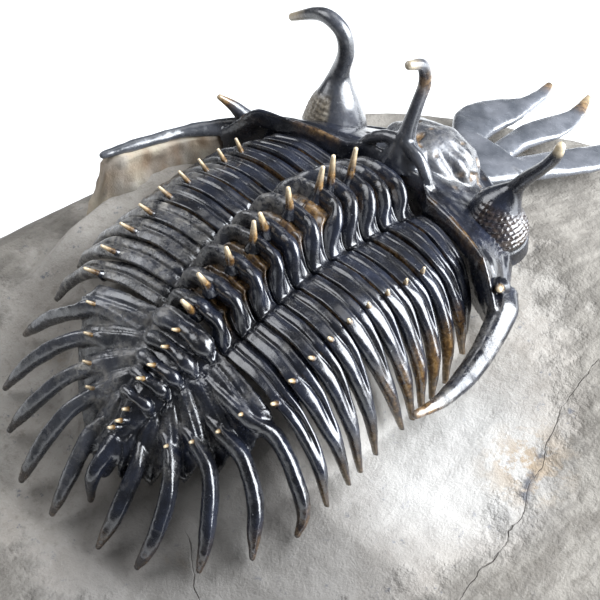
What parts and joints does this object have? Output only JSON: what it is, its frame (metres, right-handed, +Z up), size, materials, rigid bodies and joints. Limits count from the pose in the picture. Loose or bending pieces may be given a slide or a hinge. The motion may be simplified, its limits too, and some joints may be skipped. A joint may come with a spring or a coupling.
{
  "type": "fossil trilobite on rock matrix",
  "caption": "Spiny black trilobite fossil with a forked head trident and tall eye horns, prepared free on a loose slab of pale limestone that lies on its flat underside.",
  "frame": {"origin": "centre of the stone's flat underside, under the middle of its bounding box", "axes": "+Z up out of the underside, +Y towards the animal's head along its midline, +X to the animal's right"},
  "size_m": [0.07, 0.084, 0.0379],
  "materials": {
    "head_calcite": "polished dark calcite with brown and grey patches",
    "thorax_calcite": "polished dark calcite with brown edges",
    "tail_calcite": "satin dark grey calcite",
    "limestone": "matt sawn and air-abraded rock"
  },
  "bodies": {
    "root": {"cephalon": "head_calcite", "thoracic_segment_01": "thorax_calcite", "thoracic_segment_02": "thorax_calcite", "thoracic_segment_03": "thorax_calcite", "thoracic_segment_04": "thorax_calcite", "thoracic_segment_05": "thorax_calcite", "thoracic_segment_06": "thorax_calcite", "thoracic_segment_07": "thorax_calcite", "thoracic_segment_08": "thorax_calcite", "thoracic_segment_09": "thorax_calcite", "thoracic_segment_10": "thorax_calcite", "thoracic_segment_11": "thorax_calcite", "pygidium": "tail_calcite", "matrix": "limestone"}
  },
  "joints": []
}
